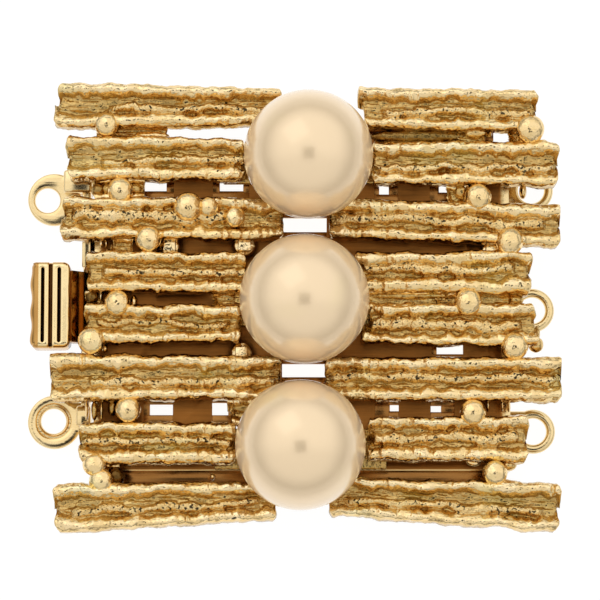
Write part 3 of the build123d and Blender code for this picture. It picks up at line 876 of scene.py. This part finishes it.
def makeRings():
    steps = 180
    for name, group in ringGroups.items():
        work = bmesh.new()
        for row in group["rows"]:
            ring = dict(zip(ringColumns, row))
            loops = []
            for outside, inset, height in ringProfile(ring, group):
                loop = []
                for step in range(steps):
                    angle = 2 * math.pi * step / steps
                    radius = ring["hole"] + inset
                    if outside:
                        radius = reachAt(ring, group["end"] - ring["x"], angle) - inset
                    x, y = ring["x"] + radius * math.cos(angle), ring["y"] + radius * math.sin(angle)
                    loop.append(work.verts.new(Vector((x, y, height)) * mm))
                loops.append(loop)
            for first, second in zip(loops, loops[1:] + loops[:1]):
                bridge(work, first, second)
        for lowX, lowY, highX, highY in group["caps"]:  # where a tab is folded up to the end plate
            low, high = (lowX, lowY, group["low"] + 0.06), (highX, highY, group["capTop"])
            roundedBox(work, low, high, group["capBevel"])
        asPiece(meshFrom(work, 40), name, ringGold, group["body"], "sheet_gold")


makeRings()


# Plate with its box, and the tongue: the nodes' own shapes without their rings, with softened edges
sheetSettings = {
    "plateAndBox": {"node": "clasp_box", "body": "clasp", "cut": 13.86, "bevel": 0.07},
    "tongueSheet": {"node": "tongue", "body": "tongue", "cut": -13.06, "bevel": 0.07},
}
sheetAngles = {"same": 0.5, "softened": 60, "shaded": 35}  # between faces, in degrees
lipSettings = {"low": 2.62, "high": 2.88, "ledgeLow": 2.3, "ledgeHigh": 2.62, "bevel": 0.05, "rise": 0.015}
lipRows = [  # from x, from y, to x, to y: what narrows the plate's windows
    (-9.49, 6.74, -2.32, 7.36), (-7.73, 7.24, -7.04, 7.99), (-5.09, 7.24, -4.36, 7.99),
    (-2.89, 7.24, -2.32, 7.99), (4.97, 6.55, 7.11, 7.14), (4.97, 7.05, 5.70, 7.87), (6.30, 7.05, 7.11, 7.87),
    (8.62, 6.55, 9.47, 7.87), (9.38, 6.55, 10.13, 7.27), (-9.49, -7.48, -6.97, -6.82),
    (-9.49, -6.91, -8.70, -5.65), (-9.49, -6.16, -6.97, -5.65), (-5.21, -7.54, -3.33, -6.82),
    (-3.80, -6.91, -3.33, -5.65), (-5.21, -6.06, -3.33, -5.65), (5.10, -7.16, 6.33, -5.65),
    (6.23, -6.19, 7.11, -5.65), (6.23, -7.16, 7.11, -6.57), (8.69, -6.25, 10.64, -5.65),
    (8.69, -7.16, 10.64, -6.63), (9.53, -6.72, 10.64, -6.03), (-0.69, 4.16, 2.71, 4.75),
    (-0.81, -5.09, 2.59, -4.43), (-0.81, -3.61, 2.59, -3.01), (4.60, 10.13, 11.26, 11.33),
    (12.08, 10.26, 12.93, 11.20), (8.75, -3.20, 9.28, -2.26),
]
ledgeRows = [(-10.89, -11.30, -2.33, -10.20), (3.85, -11.23, 12.79, -10.20)]


def makeSheetWork():
    for name, look in sheetSettings.items():
        work = bmesh.new()
        work.from_mesh(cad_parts[look["node"]].data)
        bmesh.ops.remove_doubles(work, verts=work.verts, dist=0.002 * mm)
        everything = work.verts[:] + work.edges[:] + work.faces[:]
        cut = bmesh.ops.bisect_plane(work, geom=everything, plane_co=(look["cut"] * mm, 0, 0),
                                     plane_no=(math.copysign(1, look["cut"]), 0, 0), clear_outer=True)
        rims = [part for part in cut["geom_cut"] if isinstance(part, bmesh.types.BMEdge)]
        bmesh.ops.holes_fill(work, edges=rims, sides=0)
        flat = math.radians(sheetAngles["same"])
        bmesh.ops.dissolve_limit(work, angle_limit=flat, verts=work.verts, edges=work.edges)
        sharp = []
        for edge in work.edges:
            if len(edge.link_faces) == 2 and edge.calc_face_angle(0) > math.radians(sheetAngles["softened"]):
                sharp.append(edge)
        softened(work, sharp, look["bevel"], 2)
        material = plateGold if look["node"] == "clasp_box" else ringGold
        mesh = meshFrom(work, sheetAngles["shaded"])
        asPiece(mesh, name, material, look["body"], "sheet_gold", look["node"])


def makeLips():
    look = lipSettings
    work = bmesh.new()
    for number, (lowX, lowY, highX, highY) in enumerate(lipRows):
        rise = look["rise"] * (number % 5)  # neighbours in the table aren't quite level
        low, high = look["low"] + rise, look["high"] + rise
        roundedBox(work, (lowX, lowY, low), (highX, highY, high), look["bevel"], 2)
    for lowX, lowY, highX, highY in ledgeRows:
        low, high = look["ledgeLow"], look["ledgeHigh"]
        roundedBox(work, (lowX, lowY, low), (highX, highY, high), look["bevel"], 2)
    # lips and ledges get the dark recess gold: painted shade
    mesh = meshFrom(work, sheetAngles["shaded"])
    asPiece(mesh, "plateLips", shadedRecessGold, "clasp", "sheet_gold")


makeSheetWork()
makeLips()


# Lever: the ribbed thumb piece, its neck and the spring leaf
thumbSettings = {  # grooves: x, half length, half breadth, share of the depth; edges: outer, inner, ends
    "low": (-16.22, -2.68, 1.95), "high": (-13.70, 2.72, 4.05), "corner": 0.42, "edges": (0.60, 0.22, 0.30),
    "grooves": ((-15.40, 2.28, 0.04, 1.0), (-14.91, 3.2, 0.06, 0.5), (-14.37, 2.28, 0.045, 1.0)),
    "depth": 0.55, "bank": 0.07, "dip": 0.09, "shoulder": 0.2, "scallop": 0.05, "points": (180, 130),
    # band, end and rib tones: painted light levels, band and ends in painted shade, ribs lit
    "band": 0.56, "bandTone": 0.44, "endTone": 0.53, "ribTone": 0.90,
}
leafSettings = {  # side views, as (x, height)
    # tone: painted shade on the leaf and its neck
    "half": 4.4, "neckHalf": 2.25, "bevel": 0.08, "neckBevel": 0.12, "tone": 0.41,
    "leaf": ((-2.425, 1.125), (-2.425, 1.475), (-11.675, 2.1), (-11.675, 1.75)),
    "neck": ((-11.325, 2.1), (-12.575, 2.1), (-13.625, 3.6), (-14.2, 3.2), (-13.7, 1.95), (-12.575, 1.75),
             (-11.325, 1.75)),
}


def makeThumb():
    look = thumbSettings
    low, high, corner = look["low"], look["high"], look["corner"]
    outerEdge, innerEdge, endEdge = look["edges"]
    columns, rows = look["points"]
    halfX, halfY = (high[0] - low[0]) / 2, (high[1] - low[1]) / 2
    middle, middleY = (low[0] + high[0]) / 2, (low[1] + high[1]) / 2
    work = bmesh.new()

    def outline(u, v):  # the block seen from above: corners rounded, outer side scalloped
        x, y = halfX * u, halfY * v
        overX, overY = abs(x) - (halfX - corner), abs(y) - (halfY - corner)
        if overX > 0 and overY > 0:
            reach = max(overX, overY) / math.hypot(overX, overY)
            x = math.copysign(halfX - corner + overX * reach, x)
            y = math.copysign(halfY - corner + overY * reach, y)
        if u < -0.8:
            x += look["scallop"] * (1 + math.sin(y * 3.6)) * (-u - 0.8) / 0.2
        return x, y

    def rounding(room, edge):
        return edge - math.sqrt(max(edge ** 2 - max(edge - room, 0) ** 2, 0))

    def topAt(x, y, u, v):
        level = high[2] - max(rounding((1 + u) * halfX, outerEdge), rounding((1 - u) * halfX, innerEdge),
                              rounding((1 - abs(v)) * halfY, endEdge))
        for place, reach, half, share in look["grooves"]:
            away = math.hypot(x + middle - place, max(abs(y) - (reach - half), 0))
            bank = min(max((half + look["bank"] - away) / look["bank"], 0), 1)
            shoulder = min(max((half + look["shoulder"] - away) / look["shoulder"], 0), 1)
            level -= look["depth"] * share * bank * bank * (3 - 2 * bank) + look["dip"] * shoulder * shoulder
        return level

    top = []
    for j in range(rows + 1):
        line = []
        for i in range(columns + 1):
            u, v = i / columns * 2 - 1, j / rows * 2 - 1
            x, y = outline(u, v)
            line.append(work.verts.new(Vector((middle + x, middleY + y, topAt(x, y, u, v))) * mm))
        top.append(line)
    for first, second in zip(top, top[1:]):
        for step in range(columns):
            work.faces.new((first[step], first[step + 1], second[step + 1], second[step]))
    rim = [*top[0][:-1], *[line[-1] for line in top[:-1]], *top[-1][:0:-1], *[line[0] for line in top[:0:-1]]]
    previous = rim
    for level, inset in ((3.1, 0), (low[2] + 0.5, 0), (low[2] + 0.15, 0), (low[2], 0.12)):
        ring = []
        for vert in rim:
            x, y = vert.co.x / mm - middle, vert.co.y / mm - middleY
            spot = (middle + x * (1 - inset / halfX), middleY + y * (1 - inset / halfY),
                    min(level, vert.co.z / mm - 0.05))
            ring.append(work.verts.new(Vector(spot) * mm))
        bridge(work, previous, ring)
        previous = ring
    work.faces.new(previous)

    def tone(place):  # painted light and shade: ribs painted light, grooves painted dark as shade, outer side and ends painted a deeper gold as shade
        if place.x < low[0] + look["band"]:
            return look["bandTone"]
        if abs(place.y - middleY) > halfY - 0.12:
            return look["endTone"]
        sunk = min(max((high[2] - place.z) / look["depth"] * 1.5 - 0.05, 0), 1)
        return look["ribTone"] - look["ribTone"] * sunk

    mesh = addTone(meshFrom(work), "crest", tone)
    asPiece(mesh, "thumbPiece", polishedGold, "lever", "polished_gold")


def makeLeaf():
    look = leafSettings
    work = bmesh.new()
    slab(work, look["leaf"], look["half"], look["bevel"])
    slab(work, look["neck"], look["neckHalf"], look["neckBevel"])
    mesh = addTone(meshFrom(work, sheetAngles["shaded"]), "crest", look["tone"])
    asPiece(mesh, "springLeaf", polishedGold, "lever", "polished_gold", "lever")


makeThumb()
makeLeaf()


# Studio: pale floor, a bright tent with the dark square of the lens in it, and one soft light
studioSettings = {
    "floor": 900, "floorLevel": -0.02, "floorTone": 0.14, "floorGlow": (0.93, 0.45), "glowReach": (22, 60),
    "glow": 1.02, "tint": (1.0, 0.985, 0.95, 1), "lensHalf": 0.175, "lensEdge": 0.012, "lensDark": 0.03,
    "front": (-0.35, 0.0, 0.80, 1.03), "flanks": (0.74, 0.95, 1.0, 0.80), "rise": (0.0, 0.5, 0.32, 1.0),
    "lightPlace": (-120, 190, 260), "lightSize": 220, "lightPower": 0.05,
}


def makeStudio():
    look = studioSettings
    half = look["floor"] / 2 * mm
    level = look["floorLevel"] * mm
    mesh = bpy.data.meshes.new("studioFloor")
    corners = [(-half, -half, level), (half, -half, level), (half, half, level), (-half, half, level)]
    mesh.from_pydata(corners, [], [(0, 1, 2, 3)])
    floor = addObject("studioFloor", mesh)
    material, tree, inputs, place = newMaterial("paleFloor", 0.0)
    inputs["Base Color"].default_value = (*[look["floorTone"]] * 3, 1)
    inputs["Roughness"].default_value = 0.9
    inputs["Emission Color"].default_value = (1, 1, 1, 1)
    distance = addNode(tree, "ShaderNodeVectorMath", {0: place}, 1, operation="LENGTH") * 1000
    plug(remap(distance, *look["glowReach"], *look["floorGlow"]), inputs["Emission Strength"])
    mesh.materials.append(material)

    world = bpy.data.worlds.new("studioTent")
    scene.world = world
    world.use_nodes = True
    tree = world.node_tree
    x, y, z = split(addNode(tree, "ShaderNodeTexCoord"))
    tilt = cameraSettings["tilt"]
    offset = highest(sizeOf(x), sizeOf(y * math.cos(tilt) + z * math.sin(tilt)))
    nearEdge, farEdge = look["lensHalf"] - look["lensEdge"], look["lensHalf"] + look["lensEdge"]
    lens = remap(offset, nearEdge, farEdge, look["lensDark"], 1.0)
    strength = look["glow"] * remap(y, *look["front"]) * remap(sizeOf(x), *look["flanks"])
    strength = strength * remap(z, *look["rise"])
    background = tree.nodes["Background"]
    background.inputs["Color"].default_value = look["tint"]
    plug(strength * lens, background.inputs["Strength"])

    lamp = bpy.data.lights.new("softLight", "AREA")
    lamp.size = look["lightSize"] * mm
    lamp.energy = look["lightPower"]
    holder = addObject("softLight", lamp)
    holder.location = Vector(look["lightPlace"]) * mm
    holder.rotation_euler = Vector(look["lightPlace"]).to_track_quat("Z", "Y").to_euler()


makeStudio()
scene.view_settings.view_transform = "Standard"
print("studio lit")
